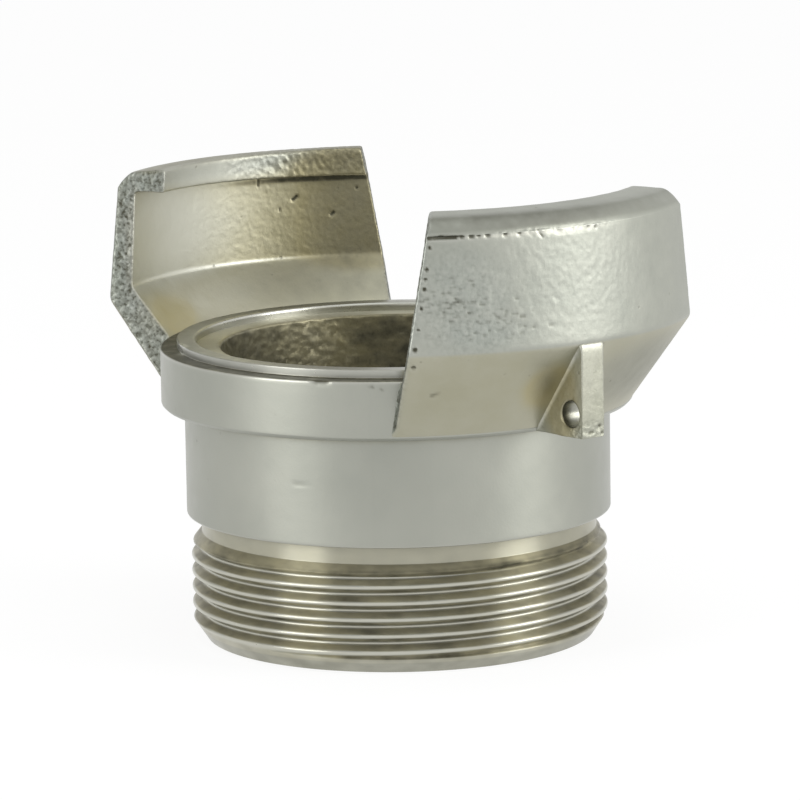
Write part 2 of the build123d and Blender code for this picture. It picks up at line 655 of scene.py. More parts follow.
    def to_piece(self, name: str) -> bpy.types.Object:
        """Write the shell to a mesh, in metres, with its traits as attributes.

        Args:
            name: Name of the piece.

        Returns:
            The piece, linked to the scene.
        """
        mesh = bpy.data.meshes.new(name)
        mesh.vertices.add(len(self.points))
        mesh.vertices.foreach_set("co", (self.points * MM).astype(np.float32).ravel())
        mesh.loops.add(self.quads.size)
        mesh.loops.foreach_set("vertex_index", self.quads.astype(np.int32).ravel())
        mesh.polygons.add(len(self.quads))
        starts = np.arange(len(self.quads), dtype=np.int32) * 4
        mesh.polygons.foreach_set("loop_start", starts)
        mesh.polygons.foreach_set("use_smooth", np.ones(len(self.quads), bool))
        mesh.update(calc_edges=True)
        mesh.validate()
        for trait, values in self.traits.items():
            layer = mesh.attributes.new(trait, "FLOAT", "POINT")
            layer.data.foreach_set("value", values.astype(np.float32))
        return linked(name, mesh)


def linked(name: str, data: bpy.types.ID) -> bpy.types.Object:
    """Make an object of a mesh, a lamp or a camera and link it to the scene."""
    made = bpy.data.objects.new(name, data)
    bpy.context.scene.collection.objects.link(made)
    return made


# Shader maths


class Expr:
    """A socket's value, on which Python arithmetic adds Math nodes."""

    def __init__(self, tree: "Tree", socket: bpy.types.NodeSocket) -> None:
        """Hold the socket and the tree that it belongs to."""
        self.tree = tree
        self.socket = socket

    def math(self, operation: str, *values: "Expr | float") -> "Expr":
        """One Math node on these values."""
        inputs = dict(enumerate(values))
        return self.tree.node("ShaderNodeMath", {"operation": operation}, inputs)

    def __add__(self, other: "Expr | float") -> "Expr":
        """The sum."""
        return self.math("ADD", self, other)

    __radd__ = __add__

    def __mul__(self, other: "Expr | float") -> "Expr":
        """The product."""
        return self.math("MULTIPLY", self, other)

    __rmul__ = __mul__

    def __sub__(self, other: "Expr | float") -> "Expr":
        """The difference."""
        return self.math("SUBTRACT", self, other)

    def __rsub__(self, other: "Expr | float") -> "Expr":
        """The difference from a number."""
        return self.math("SUBTRACT", other, self)

    def most(self, other: "Expr | float") -> "Expr":
        """The larger of the two."""
        return self.math("MAXIMUM", self, other)

    def least(self, other: "Expr | float") -> "Expr":
        """The smaller of the two."""
        return self.math("MINIMUM", self, other)

    def step(self, low: float, high: float) -> "Expr":
        """Rise smoothly from 0 at low to 1 at high."""
        return self.tree.node(
            "ShaderNodeMapRange",
            {"interpolation_type": "SMOOTHSTEP"},
            {"Value": self, "From Min": low, "From Max": high},
        )


@dataclass
class Tree:
    """A node tree, filled by one method that adds any node.

    Attributes:
        nodes: Blender's node tree.
    """

    nodes: bpy.types.NodeTree

    @classmethod
    def cleared(cls, owner: bpy.types.Material | bpy.types.World) -> "Tree":
        """The node tree of a material or a world, emptied."""
        owner.use_nodes = True
        owner.node_tree.nodes.clear()
        return cls(owner.node_tree)

    def node(
        self,
        kind: str,
        settings: dict[str, Any] | None = None,
        inputs: dict[str | int, Any] | None = None,
        output: str | int = 0,
    ) -> Expr:
        """Add a node, first its settings and then its inputs.

        Args:
            kind: Blender's name for the node's type.
            settings: Properties of the node.
            inputs: Value or link of each socket, by its name or number.
            output: The socket that is given back.

        Returns:
            The output as an expression.
        """
        made = self.nodes.nodes.new(kind)
        for name, value in (settings or {}).items():
            setattr(made, name, value)
        for key, value in (inputs or {}).items():
            if isinstance(value, Expr):
                self.nodes.links.new(value.socket, made.inputs[key])
            else:
                made.inputs[key].default_value = value
        return Expr(self, made.outputs[output] if made.outputs else None)

    def trait(self, trait: Trait) -> Expr:
        """The value that the mesh carries for a trait."""
        return self.node(
            "ShaderNodeAttribute", {"attribute_name": trait.value}, output="Fac"
        )

    def place(self, scale: tuple[float, float, float] = (1.0, 1.0, 1.0)) -> Expr:
        """Object coordinates, stretched by the scale."""
        where = self.node("ShaderNodeTexCoord", output="Object")
        return self.node("ShaderNodeMapping", inputs={"Vector": where, "Scale": scale})

    def noise(self, place: Expr, per_metre: float, detail: float = 2.0) -> Expr:
        """Noise from 0 to 1 with this many waves in a metre."""
        inputs = {"Vector": place, "Scale": per_metre, "Detail": detail}
        return self.node("ShaderNodeTexNoise", inputs=inputs)

    def specks(self, place: Expr, per_metre: float) -> Expr:
        """Distance to the nearest of many scattered spots, in cell widths."""
        inputs = {"Vector": place, "Scale": per_metre}
        return self.node("ShaderNodeTexVoronoi", inputs=inputs, output="Distance")

    def blend(self, factor: Expr, low: Colour | Expr, high: Colour | Expr) -> Expr:
        """Mix two colours: the first where the factor is 0."""
        pair = [(*c, 1.0) if isinstance(c, tuple) else c for c in (low, high)]
        inputs = {0: factor, 6: pair[0], 7: pair[1]}
        return self.node("ShaderNodeMix", {"data_type": "RGBA"}, inputs, output=2)


@dataclass(frozen=True)
class Waves:
    """How fine the noises in the steel are, in waves for each metre."""

    clouds: float = 60.0
    mottle: float = 420.0
    pits: float = 620.0
    sand: float = 2000.0
    fine: float = 2600.0
    rings: float = 5200.0


@dataclass(frozen=True)
class SteelFinish:
    """Stainless steel, cast and blasted in some places and turned in others.

    Attributes:
        name: Name of the material.
        cool: Colour of open faces.
        warm: Colour where it has tarnished, and of the painted warm bounce light in pockets, bores
            and grooves.
        slate: Colour where its grain is coarse.
        light: Colour of its lightest clouds and of painted highlights and reflections.
        rubbed: Colour of fresh edges and turned faces.
        dark: Colour of the scale left in hollows, and of painted shade in recesses, grooves and
            corners.
        cast_roughness: Roughness of the blasted skin.
        turned_roughness: Roughness of turned faces.
        streak: How far reflections stretch across the tool lines, from 0 to 1.
        grain: Height of the blasted grain, in metres.
        coarse_grain: Height of the coarse grain, in metres.
        lines: Height of the tool lines on turned faces, in metres.
        waves: How fine its noises are.
    """

    name: str
    cool: Colour = (0.350, 0.362, 0.318)
    warm: Colour = (0.440, 0.398, 0.240)
    slate: Colour = (0.315, 0.355, 0.338)
    light: Colour = (0.60, 0.60, 0.53)
    rubbed: Colour = (0.50, 0.50, 0.455)
    dark: Colour = (0.070, 0.068, 0.048)
    cast_roughness: float = 0.43
    turned_roughness: float = 0.28
    streak: float = 0.0
    grain: float = 0.000020
    coarse_grain: float = 0.000070
    lines: float = 0.000002
    waves: Waves = Waves()

    def material(self) -> bpy.types.Material:
        """Build the material.

        Its colour goes from cool to warm with the olive trait, which is partly tarnish
        and partly painted warm bounce light, to a rubbed tone with the fresh trait,
        lightens with the pale trait, which paints highlights and reflections, wavers
        with large noise and darkens with the hollow trait, which is scale and painted
        shade, in pits and in the low spots of coarse grain. Its height is grain on cast
        skin, and rings round the axis on turned faces.

        Returns:
            The material.
        """
        made = bpy.data.materials.new(self.name)
        tree = Tree.cleared(made)
        place, waves = tree.place(), self.waves
        fresh, olive, hollow, coarse, pale = (tree.trait(trait) for trait in Trait)
        cloud = tree.noise(place, waves.clouds, 3.0)
        mottle = tree.noise(place, waves.mottle, 3.0)
        sand = tree.noise(place, waves.sand, 3.0)
        fine = tree.noise(place, waves.fine, 2.0)
        specks = 1 - tree.specks(place, waves.pits).step(0.08, 0.2)
        pits = specks * mottle.step(0.60, 0.72)
        low = coarse * (1 - sand.step(0.34, 0.54))

        # The olive trait turns it warm: partly tarnish, partly painted warm bounce light.
        steel = tree.blend(olive, tree.blend(coarse, self.cool, self.slate), self.warm)
        waver = (cloud - 0.5) * 0.6 + mottle * 0.25 + (sand - 0.5) * coarse * 0.8
        # The pale trait lightens it: painted highlights, glints and reflections.
        lighter = tree.blend(waver + pale, steel, self.light)
        rubbed = tree.blend(fresh * (1 - olive) * 0.7, lighter, self.rubbed)
        # The hollow trait darkens it: scale in dents, and painted shade in recesses, grooves and
        # corners.
        patchy = hollow * (0.55 + 0.9 * mottle)
        soot_and_shade = (patchy + low * 0.32 + pits * (1 - fresh) * 0.3).least(0.97)
        colour = tree.blend(soot_and_shade, rubbed, self.dark)

        rings = tree.noise(tree.place((0.02, 0.02, 1.0)), waves.rings, 1.0)
        skin = fine * 0.7 + mottle * 1.1 - pits * 1.5
        height = skin * (1 - fresh) + sand * coarse * (self.coarse_grain / self.grain)
        height = height + rings * fresh * (self.lines / self.grain)
        bump = tree.node("ShaderNodeBump", inputs={"Height": height, "Distance": self.grain})
        rough = self.cast_roughness + (self.turned_roughness - self.cast_roughness) * fresh
        shader = tree.node(
            "ShaderNodeBsdfPrincipled",
            inputs={
                "Base Color": colour,
                "Metallic": 1.0,
                "Roughness": rough + (mottle - 0.5) * 0.12 + soot_and_shade * 0.12,
                "Anisotropic": self.streak,
                "Anisotropic Rotation": 0.25,
                "Normal": bump,
            },
        )
        tree.node("ShaderNodeOutputMaterial", inputs={"Surface": shader})
        return made


# The coupling's own pieces


@dataclass(frozen=True)
class CouplingSizes:
    """Sizes that several pieces share, in millimetres: radii, then heights.

    A kink is where the outer cone meets the claws' outer wall.
    """

    bore: float = 25.0
    neck: float = 28.268
    collar: float = 30.357
    seat_inner: float = 28.55
    seat_outer: float = 31.25
    flange: float = 33.65
    kink: float = 42.85
    collar_bottom: float = 18.0
    flange_bottom: float = 33.55
    cone_start: float = 34.2
    face: float = 41.9
    seat_floor: float = 0.4
    seat_top: float = 43.1
    claw_kink: float = 46.9

    @property
    def cone_slope(self) -> float:
        """Growth of the outer cone's radius for each millimetre of height."""
        return (self.kink - self.flange) / (self.claw_kink - self.cone_start)


@dataclass
class Piece:
    """A sub-assembly of the coupling that becomes one mesh.

    Attributes:
        name: Name of the piece in the scene.
        finish: Its steel.
        wear_and_painted_light: What casting, blasting and use left on it, and the light and shade
            painted on it.
        sizes: The sizes shared by all pieces.
    """

    name: str
    finish: SteelFinish
    wear_and_painted_light: WearAndPaintedLight = WearAndPaintedLight()
    sizes: CouplingSizes = CouplingSizes()

    def shell(self) -> Shell:
        """Work out the piece's closed surface; each kind of piece has its own."""
        raise NotImplementedError

    def build(self) -> bpy.types.Object:
        """Make the piece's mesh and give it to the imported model's body.

        Returns:
            The piece in place.
        """
        shell = self.shell()
        piece = shell.to_piece(self.name)
        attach(piece, BODY)
        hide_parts(NODE)
        log.info("%s: %d points, %d faces", self.name, len(shell.points), len(shell.quads))
        return piece

    def dress(self, piece: bpy.types.Object) -> None:
        """Give the piece its steel.

        Args:
            piece: The piece that build made.
        """
        made = bpy.data.materials.get(self.finish.name) or self.finish.material()
        piece.data.materials.append(made)
        log.info("%s: dressed in %s", self.name, made.name)


@dataclass
class PipeThread:
    """A right-hand parallel pipe thread of Whitworth form, with rounded crests.

    Attributes:
        pitch: Distance from crest to crest.
        crest: Radius of the crests.
        depth: Height of the thread, from root to crest.
        half_angle: Angle between a flank and the plane across the axis, in degrees.
        rounding: Radius of crests and roots.
        crest_height: Height of a crest at the angle zero.
        lead_radius: Radius of the chamfered end's rim.
        lead_height: Height at which the end chamfer stops.
        full_height: Height of the last full thread.
        neck: Radius and height at which it has run out.
        start: Heights between which the first groove grows to its full depth.
        crest_share: Share of the depth above which a point is on a crest.
        root_share: Share of the depth below which it is on a root.
    """

    pitch: float = 2.309
    crest: float = 29.807
    depth: float = 1.479
    half_angle: float = 27.5
    rounding: float = 0.317
    crest_height: float = 1.10
    lead_radius: float = 27.807
    lead_height: float = 3.0
    full_height: float = 13.5
    neck: tuple[float, float] = (28.268, 15.4)
    start: tuple[float, float] = (1.5, 2.7)
    crest_share: float = 0.05
    root_share: float = 0.97

    def form(self, apart: Array) -> Array:
        """Drop below the crest at a distance along the axis from it.

        Near the crest it is an arc, rounding - sqrt(rounding^2 - u^2), near the
        root the same arc upside down, and between them the straight flank.

        Args:
            apart: Distances from the nearest crest, up to half a pitch.

        Returns:
            Drops from 0 to the thread's depth.
        """
        half = math.radians(self.half_angle)
        reach = self.rounding * math.cos(half)
        drop = self.rounding * (1 - math.sin(half))
        flank = drop + (apart - reach) / math.tan(half)
        root = self.pitch / 2 - apart
        lower = np.where(root < reach, self.depth - arc(self.rounding, root), flank)
        drop = np.where(apart < reach, arc(self.rounding, apart), lower)
        return np.clip(drop, 0, self.depth)

    def radius(self, angle: Array, height: Array) -> tuple[Array, Array, Array]:
        """Radius of the threaded end: the smaller of blank and thread form.

        The blank is a cylinder with a cone at each end, which gives the thread its
        lead-in and its run-out.

        Args:
            angle: Angles round the axis, in radians.
            height: Heights above the threaded end.

        Returns:
            The radii, how deep in the groove each point lies, from 0 to 1, and how
            far it is from the crest above, in pitches, or 0 above a crest.
        """
        turns = (height - self.crest_height) / self.pitch - angle / (2 * math.pi)
        beside = turns - np.round(turns)
        lead = self.lead_radius + (self.crest - self.lead_radius) * height / self.lead_height
        neck_radius, neck_height = self.neck
        fall = (self.crest - neck_radius) / (neck_height - self.full_height)
        run_out = self.crest - fall * (height - self.full_height)
        blank = np.minimum(np.minimum(self.crest, lead), run_out)
        grown = ramp(height, self.start[0], self.start[1] - self.start[0])
        cut = self.crest - self.form(np.abs(beside) * self.pitch) * grown
        deep = np.clip((blank - cut) / self.depth, 0, 1)
        return np.minimum(blank, cut), deep, np.clip(-beside, 0, 1)


@dataclass
class ThreadedSpigot(Piece):
    """The threaded end with its neck, and the bore up to the seat's floor.

    Attributes:
        thread: The pipe thread.
        columns: Points round the axis.
        thread_rows: Rows of points on the thread.
        bore_rows: Rows of points in the bore's upper and its lower part.
        bore_parting: Height at which the two parts meet.
        overlap: How far its top reaches into the seat's ring.
        crinkle: Depth of the bore's cast skin.
        lining: The bore's steel.
        seed: Number that fixes the bore's skin.
    """

    thread: PipeThread = field(default_factory=PipeThread)
    columns: int = 420
    thread_rows: int = 104
    bore_rows: tuple[int, int] = (56, 10)
    bore_parting: float = 22.0
    overlap: float = 0.35
    crinkle: float = 0.14
    lining: SteelFinish = SteelFinish("bore_steel")
    seed: int = 11

    def _outline(self) -> Array:
        """The profile from the bore over the rim, the thread and the neck.

        Returns:
            Points of radius and height, one row each.
        """
        s, t = self.sizes, self.thread
        hidden = s.seat_inner + self.overlap
        corners = [
            Corner(s.bore, s.face, 0.45, self.bore_rows[0]),
            Corner(s.bore, self.bore_parting, 0.0, self.bore_rows[1]),
            Corner(s.bore, 0.0, 0.4, 4),
            Corner(t.lead_radius, 0.0, 0.12, self.thread_rows),
            Corner(*t.neck, 0.12, 7),
            Corner(s.neck, s.collar_bottom + 1.2, 0.0, 3),
            Corner(s.neck, s.face - s.seat_floor - 0.1, 0.0, 2),
            Corner(hidden, s.face - s.seat_floor, 0.0, 2),
            Corner(hidden, s.face, 0.0, 8),
        ]
        return rounded_path(corners, closed=True)

    def shell(self) -> Shell:
        """A profile turned round the axis: bore, rim, thread, neck and floor.

        The outer rows up to the neck take their radius from the thread, as a
        function of angle and height.

        Returns:
            The closed surface.
        """
        s, t = self.sizes, self.thread
        path = self._outline()
        angle = np.linspace(0, 2 * math.pi, self.columns, endpoint=False)[None, :]
        radius = np.repeat(path[:, :1], self.columns, axis=1)
        height = np.repeat(path[:, 1:], self.columns, axis=1)
        outside = path[:, 0] > s.neck - 0.6
        threaded = outside & (path[:, 1] > 0.05) & (path[:, 1] <= t.neck[1])
        radius[threaded], groove, below = t.radius(angle, path[threaded][:, 1:])
        deep, under = np.zeros_like(radius), np.zeros_like(radius)
        deep[threaded], under[threaded] = groove, below

        in_bore = ramp(radius, s.bore + 0.5, -0.5)
        past_bore = 1 - in_bore
        neck = ramp(height, t.neck[1] - 0.12, 0.12) * past_bore
        run_out = ramp(height, t.full_height + 0.25, 0.3) * past_bore
        flank = ramp(deep, t.crest_share, 0.1) * ramp(deep, t.root_share, -0.07)
        flank = np.maximum(flank, run_out) * (1 - neck)
        crest = (deep < t.crest_share) & (height > t.start[0])
        line = ((deep > t.root_share) | crest) * (1 - neck) * (1 - run_out) * past_bore
        end_ring = ramp(height, t.start[1], -0.4) * past_bore * (1 - flank)
        traits = toned(
            # The bore: a warm tint and painted shade inside it.
            (in_bore, Tone(olive=0.85, hollow=0.50, coarse=0.2)),
            (neck, Tone(fresh=-0.3, olive=0.6, hollow=0.1, pale=0.1)),
            # The flanks: painted shade in the grooves, with a warm tint.
            (flank, Tone(fresh=-0.7, olive=0.95, hollow=0.42)),
            # More painted shade on each flank that faces down under a crest.
            (flank * np.clip(under * 9, 0, 1), Tone(hollow=0.16)),
            # The crest and root lines: painted highlights.
            (line, Tone(olive=0.5, pale=0.45)),
            (end_ring, Tone(olive=0.4, hollow=0.26)),
        )
        traits[Trait.FRESH] = past_bore * (1 + traits[Trait.FRESH])
        traits["skin"] = in_bore
        shell = Shell()
        shell.add_grid(swept(radius, angle, height), traits, loop_rows=True, loop_columns=True)
        shell.weld()
        skin = shell.traits.pop("skin") * self.crinkle
        points = shell.points
        crinkles = Grain(self.seed).share(points, 1.0, 2, 0.6)
        clouds = Grain(self.seed + 2).layered(points * np.array([1.0, 1.0, 3.0]), 5.0, 4)
        shell.sink(skin * crinkles + self.wear_and_painted_light.skin(points))
        shell.add(Trait.HOLLOW, 0.6 * clouds * shell.traits[Trait.HOLLOW])
        self.wear_and_painted_light.tint(shell.points, shell.traits)
        return shell

    def dress(self, piece: bpy.types.Object) -> None:
        """Give the outside its steel and the faces of the bore the lining's.

        Args:
            piece: The piece that build made.
        """
        super().dress(piece)
        mesh = piece.data
        mesh.materials.append(self.lining.material())
        centres = np.empty(len(mesh.polygons) * 3, np.float32)
        mesh.polygons.foreach_get("center", centres)
        inner = np.hypot(centres[0::3], centres[1::3]) < (self.sizes.bore + 0.2) * MM
        mesh.polygons.foreach_set("material_index", inner.astype(np.int32))


@dataclass
class SeatAndCollar(Piece):
    """The collar, the flange and the raised seat ring on its face.

    Attributes:
        columns: Points round the axis.
        hidden: Radius of the inner wall, inside the spigot.
        chamfer: Chamfer of the flange's lower edge.
        unevenness: Depth of its cast and turned skin.
        darkest_dent: How dark its deepest dents are.
        seed: Number that fixes its skin.
    """

    columns: int = 504
    hidden: float = 27.4
    chamfer: float = 0.5
    unevenness: float = 0.02
    darkest_dent: float = 0.9
    seed: int = 21

    def _outline(self) -> Array:
        """The profile from the collar over the flange to the seat ring.

        Returns:
            Points of radius and height, one row each.
        """
        s = self.sizes
        corners = [
            Corner(self.hidden, s.collar_bottom, 0.0, 6),
            Corner(s.collar, s.collar_bottom, 0.30, 40),
            Corner(s.collar, s.flange_bottom, 0.35, 7),
            Corner(s.flange - self.chamfer, s.flange_bottom, 0.10, 2),
            Corner(s.flange, s.flange_bottom + self.chamfer, 0.10, 20),
            Corner(s.flange, s.face, 0.40, 6),
            Corner(s.seat_outer, s.face, 0.12, 4),
            Corner(s.seat_outer, s.seat_top, 0.14, 8),
            Corner(s.seat_inner, s.seat_top, 0.45, 4),
            Corner(s.seat_inner, s.face - s.seat_floor, 0.0, 2),
            Corner(self.hidden, s.face - s.seat_floor - 0.2, 0.0, 6),
        ]
        return rounded_path(corners, closed=True)

    def shell(self) -> Shell:
        """A profile turned round the axis, with its edges bright and its corners dark.

        Returns:
            The closed surface.
        """
        s = self.sizes
        path = self._outline()
        angle = np.linspace(0, 2 * math.pi, self.columns, endpoint=False)
        radius, height = path[:, :1], path[:, 1:]
        on_face = ramp(height, s.face - 0.45, 0.2)
        ledge = ramp(height, s.face - 0.12, 0.08) * (height < s.face + 0.1)
        ledge = ledge * ramp(radius, s.seat_outer - 0.1, 0.1)
        inner = ramp(radius, s.seat_inner + 0.1, -0.1) * ramp(height, s.face - 0.3, 0.2)
        seat = ramp(height, s.seat_top - 0.1, 0.08)
        junction = bell(np.hypot(radius - s.collar, height - s.flange_bottom), 0.0, 0.55)
        shadowed = (height < s.collar_bottom + 0.02) & (radius < s.collar - 0.32)
        chamfer = ramp(np.abs(height - s.collar_bottom - 0.12), 0.14, -0.1)
        chamfer = chamfer * (radius > s.collar - 0.3)
        traits = toned(
            (np.ones_like(radius), Tone(fresh=0.25, hollow=0.09)),
            (np.maximum(on_face, chamfer), Tone(fresh=0.75)),
            # The ledge at the ring's foot: painted shade in the corner.
            (ledge, Tone(fresh=-0.5, olive=0.75, hollow=0.80, coarse=0.25)),
            # The corner under the flange: a painted shadow.
            (junction, Tone(olive=0.5, hollow=0.55)),
            (inner, Tone(olive=0.4)),
            (seat, Tone(olive=0.25, hollow=0.30)),
            (shadowed, Tone(hollow=0.8)),
        )
        shell = Shell()
        ring = swept(radius, angle[None, :], height)
        shell.add_grid(ring, traits, loop_rows=True, loop_columns=True)
        shell.weld()
        cast = 1 - shell.traits[Trait.FRESH]
        skin = Grain(self.seed).share(shell.points, 3.0, 3)
        pressed = self.wear_and_painted_light.dents(shell.points)
        shell.sink(self.unevenness * cast * skin + pressed)
        # Dents are darkened by their depth, partly as dirt and partly as painted shade.
        shell.add(Trait.HOLLOW, 3.0 * np.clip(pressed, 0, None), self.darkest_dent)
        self.wear_and_painted_light.tint(shell.points, shell.traits)
        return shell


@dataclass
class Claw(Piece):
    """A hooked claw: an outer cone and wall, a pocket inside and a lip above it.

    Attributes:
        turned: Whether it stands on the side of -X.
        wall_top: Radius and height of the outer wall's top.
        bulge: Radius and height of the crown's middle.
        crown: Radius and height of the crown's inner end.
        brow: Height of the lip's inner edge, from which the top slopes to the crown.
        lip: Radius of the lip's inner face.
        underside: Height of the lip's underside at its middle.
        pocket: Radius of the pocket's wall.
        pocket_floor: Height at which the pocket's wall starts.
        foot: Radius and height of the inner cone's foot.
        half_angle: Half of the claw's angle at its foot, in degrees.
        lean: Lean of its flanks towards its middle, in degrees.
        lip_slope: Slope of the lip's underside, in degrees.
        buried: Radius of the wall inside the flange.
        fillet: Radius of the hollow between flank and flange.
        columns: Points from flank to flank.
        end_columns: Points from the outer to the inner side of a flank.
        lumps: Depth of the small unevenness of its faces.
        waves: Depth of the large unevenness of its faces.
        end_peel: Depth of the rough skin on its flanks.
        black_dent: Depth at which a dent is black.
        seed: Number that fixes its cast skin.
    """

    turned: bool = False
    wall_top: tuple[float, float] = (42.15, 62.9)
    bulge: tuple[float, float] = (41.25, 64.35)
    crown: tuple[float, float] = (40.05, 65.15)
    brow: float = 65.5
    lip: float = 35.2
    underside: float = 61.7
    pocket: float = 39.45
    pocket_floor: float = 48.8
    foot: tuple[float, float] = (33.8, 41.9)
    half_angle: float = 39.7
    lean: float = 9.6
    lip_slope: float = 1.5
    buried: float = 33.2
    fillet: float = 0.6
    columns: int = 240
    end_columns: int = 17
    lumps: float = 0.024
    waves: float = 0.02
    end_peel: float = 0.12
    black_dent: float = 0.16
    seed: int = 40

    def _outlines(self) -> tuple[Array, Array]:
        """The outer and the inner side of the hooked profile, from foot to tip.

        Returns:
            Two paths of radius and height with as many points each.
        """
        s = self.sizes
        slope = (self.pocket - self.foot[0]) / (self.pocket_floor - self.foot[1])
        inner_foot = self.foot[1] - (self.foot[0] - self.buried) / slope
        outer_foot = s.cone_start - (s.flange - self.buried) / s.cone_slope
        middle = (self.pocket + self.lip) / 2
        outer = [
            Corner(self.buried, outer_foot, 0.0, 44),
            Corner(s.kink, s.claw_kink, 0.45, 60),
            Corner(*self.wall_top, 0.10, 10),
            Corner(*self.bulge, 0.9, 6),
            Corner(*self.crown, 0.30, 8),
            Corner(middle + 0.6, (self.crown[1] + self.brow) / 2, 0.4, 8),
            Corner(self.lip, self.brow, 0.0, 0),
        ]
        inner = [
            Corner(self.buried, inner_foot, 0.0, 44),
            Corner(self.pocket, self.pocket_floor, 0.35, 60),
            Corner(self.pocket, self.underside - 0.25, 0.08, 3),
            Corner(self.pocket - 0.08, self.underside - 0.08, 0.08, 3),
            Corner(self.pocket - 0.25, self.underside, 0.08, 13),
            Corner(middle, self.underside, 0.4, 13),
            Corner(self.lip, self.underside, 0.0, 0),
        ]
        return rounded_path(outer, closed=False), rounded_path(inner, closed=False)

    def _half_width(self, radius: Array, height: Array) -> Array:
        """Angle from the claw's middle to its flank.

        The flank is a plane that leans towards the middle by s = (h - bottom) tan
        lean, so its angle is half_angle - asin(s / r). Near the flange it widens
        by a fillet, f - sqrt(f^2 - (f - d)^2) at the distance d from the flange.

        Args:
            radius: Distances from the bore's axis.
            height: Heights above the threaded end.

        Returns:
            Angles in radians.
        """
        rise = height - self.sizes.flange_bottom
        shift = np.clip(rise, 0, None) * math.tan(math.radians(self.lean))
        away = np.clip(self.fillet - np.clip(radius - self.sizes.flange, 0, None), 0, None)
        widened = math.radians(self.half_angle) + arc(self.fillet, away) / radius
        return widened - np.arcsin(shift / radius)

    def _place(self, path: Array, sway: Array, share: Array) -> Array:
        """Carry a profile from flank to flank.

        Each point goes to the angle share times the half width, and the lip's
        underside rises by y tan lip_slope times the profile's sway.

        Args:
            path: Points of radius and height.
            sway: How much each point follows the lip's slope, from 0 to 1.
            share: Shares of the half width, from -1 to 1.

        Returns:
            Points in rows along the profile and columns round the axis.
        """
        radius, height = path[:, :1], path[:, 1:]
        angle = self._half_width(radius, height) * share[None, :]
        climb = radius * np.sin(angle) * math.tan(math.radians(self.lip_slope)) * sway[:, None]
        angle = self._half_width(radius, height + climb) * share[None, :]
        return swept(radius, angle, height + climb)

    def shell(self) -> Shell:
        """Outer side, tip, inner side and root as one belt, closed by two flanks.

        A flank is ruled: its points divide the straight lines between the outer
        and the inner side at the belt's end. Its first and last rows are the
        belt's own points on root and tip.

        Returns:
            The closed surface.
        """
        s = self.sizes
        outer, inner = self._outlines()
        across = np.linspace(0, 1, self.end_columns)
        tip = outer[-1] + (inner[-1] - outer[-1]) * across[1:-1, None]
        root = inner[0] + (outer[0] - inner[0]) * across[1:-1, None]
        loop = np.concatenate([outer, tip, inner[::-1], root])
        rows, ends = len(outer), len(tip)
        climb = (inner[:, 1] - self.pocket_floor) / (self.underside - self.pocket_floor)
        sway = np.concatenate(
            [np.zeros(rows), across[1:-1], np.clip(climb, 0, 1)[::-1], np.zeros(ends)]
        )
        belt = self._place(loop, sway, np.linspace(-1, 1, self.columns))

        inside = np.concatenate([np.zeros(rows), across[1:-1], np.ones(rows + ends)])
        inside, height = inside[:, None], loop[:, 1:]
        cone = ramp(height, s.claw_kink, -0.3) * (1 - inside)
        inner_cone = ramp(height, self.pocket_floor, -0.3) * inside
        crown = ramp(height, self.wall_top[1] + 0.1, 0.5) * (1 - inside)
        wall = np.maximum(ramp(height, s.claw_kink - 0.4, 0.8), 0.4)
        traits = toned(
            # The inside: a warm tint, partly tarnish and partly painted warm bounce light.
            (inside, Tone(olive=0.75)),
            # The pocket's floor: cooler, as painted cool light from above.
            (inner_cone, Tone(olive=-0.25)),
            # The outer cone: a warm tint, partly tarnish and partly painted warm bounce light.
            (cone, Tone(olive=0.45)),
            # The crown: painted shade, its top faces lit less.
            (crown, Tone(hollow=0.16)),
        )
        traits["rough"] = np.where(inside > 0.5, 0.7, wall) * (1 - 0.6 * crown)
        traits["flank"] = np.zeros_like(height)
        shell = Shell()
        shell.add_grid(belt, traits, loop_rows=True)
        capped = dict.fromkeys(traits, 0.0) | {Trait.OLIVE: 0.1, "flank": 1.0}
        for column in (0, -1):
            side = belt[:, column]
            low, high = side[:rows, None], side[rows + ends : 2 * rows + ends][::-1, None]
            ruled = low + (high - low) * across[None, :, None]
            ruled[-1, 1:-1] = side[rows : rows + ends]
            ruled[0, 1:-1] = side[2 * rows + ends :][::-1]
            shell.add_grid(ruled, capped, flip=column == 0)
        shell.weld()
        self._weather(shell)
        if self.turned:
            shell.points = shell.points * np.array([-1.0, -1.0, 1.0])
        return shell

    def _weather(self, shell: Shell) -> None:
        """Round the edges and give the shell its cast skin, dents, tints, painted shade and painted
        highlights.

        Args:
            shell: The claw's surface, with the traits rough and flank.
        """
        flank = shell.traits.pop("flank")
        rough = shell.traits.pop("rough")
        points = shell.points
        outside = np.hypot(points[:, 0], points[:, 1]) > self.pocket + 0.4
        crisp = bell(points[:, 2], self.wall_top[1], 0.7) * outside
        ragged = 0.55 + 0.35 * Grain(self.seed + 1).smooth(points, 1.4)
        shell.soften(5, np.clip(ragged, 0.2, 0.9) * (1 - 0.8 * crisp))
        near = shell.spread(flank, 3)
        shell.soften(7, np.where(outside, 0.7 * np.clip(near * 3, 0, 1), 0.0))
        near = np.clip(shell.spread(near, 6) * 1.5, 0, 1)
        lip_edge = Patch(self.lip, 0.0, self.brow, 90.0, 0.7, 0.7).share(shell.points)
        shell.soften(6, 0.6 * lip_edge)

        points = shell.points
        small = Grain(self.seed + 2).share(points, 1.1, 2)
        large = Grain(self.seed + 3).share(points, 7.0, 1)
        crumbs = Grain(self.seed + 4).share(points, 0.8, 2)
        face = rough * (self.lumps * small + self.waves * large) * (1 - near)
        pressed = self.wear_and_painted_light.dents(points)
        shell.sink(face + near * self.end_peel * crumbs + pressed + self.wear_and_painted_light.skin(points))
